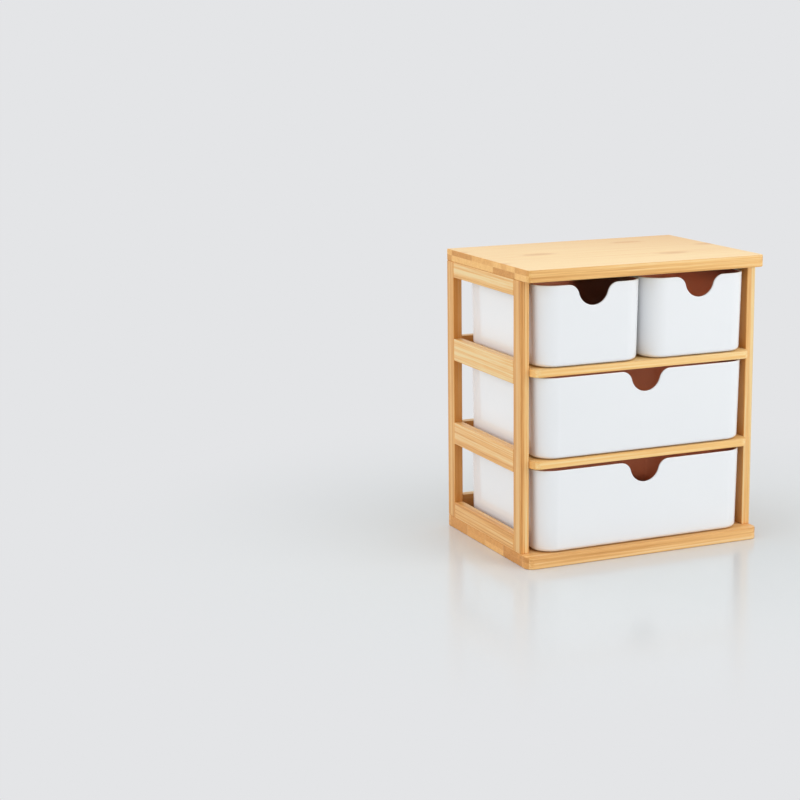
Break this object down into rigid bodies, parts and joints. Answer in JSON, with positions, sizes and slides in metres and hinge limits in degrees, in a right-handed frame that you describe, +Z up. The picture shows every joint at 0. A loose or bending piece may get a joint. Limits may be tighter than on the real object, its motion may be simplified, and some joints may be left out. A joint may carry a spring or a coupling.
{
  "type": "desktop drawer organizer",
  "caption": "Open-sided bamboo case that stands on a desk and holds lidless moulded drawers, each pulled out by a round finger notch.",
  "frame": {"origin": "middle of the underside of the base panel", "axes": "+X to the right as seen from the front, +Y to the rear, so the drawers pull out towards -Y, and +Z up"},
  "size_m": [0.25, 0.177, 0.278],
  "materials": {
    "bamboo_panel": "satin clear lacquer",
    "bamboo_frame": "satin clear lacquer",
    "drawer_shell": "soft gloss moulded white, brown inside",
    "dowel_wood": "raw turned wood",
    "screw_metal": "zinc plated"
  },
  "bodies": {
    "case": {"top_panel": "bamboo_panel", "base_panel": "bamboo_panel", "upper_shelf": "bamboo_panel", "lower_shelf": "bamboo_panel", "left_front_post": "bamboo_frame", "left_rear_post": "bamboo_frame", "right_front_post": "bamboo_frame", "right_rear_post": "bamboo_frame", "left_top_rail": "bamboo_frame", "left_upper_rail": "bamboo_frame", "left_lower_rail": "bamboo_frame", "left_bottom_rail": "bamboo_frame", "right_top_rail": "bamboo_frame", "right_upper_rail": "bamboo_frame", "right_lower_rail": "bamboo_frame", "right_bottom_rail": "bamboo_frame", "rear_upper_rail": "bamboo_frame", "rear_lower_rail": "bamboo_frame", "rear_bottom_rail": "bamboo_frame", "top_dowels": "dowel_wood", "rail_dowels": "dowel_wood", "shelf_dowels": "dowel_wood", "rear_rail_dowels": "dowel_wood", "base_screws": "screw_metal"},
    "upper_left_drawer": {"upper_left_drawer": "drawer_shell"},
    "upper_right_drawer": {"upper_right_drawer": "drawer_shell"},
    "middle_drawer": {"middle_drawer": "drawer_shell"},
    "bottom_drawer": {"bottom_drawer": "drawer_shell"}
  },
  "joints": [
    {"name": "upper_left_slide", "type": "slide", "parent": "case", "child": "upper_left_drawer", "axis": [0, -1, 0], "range_m": [0, 0.1]},
    {"name": "upper_right_slide", "type": "slide", "parent": "case", "child": "upper_right_drawer", "axis": [0, -1, 0], "range_m": [0, 0.1]},
    {"name": "middle_slide", "type": "slide", "parent": "case", "child": "middle_drawer", "axis": [0, -1, 0], "range_m": [0, 0.1]},
    {"name": "bottom_slide", "type": "slide", "parent": "case", "child": "bottom_drawer", "axis": [0, -1, 0], "range_m": [0, 0.1]}
  ]
}
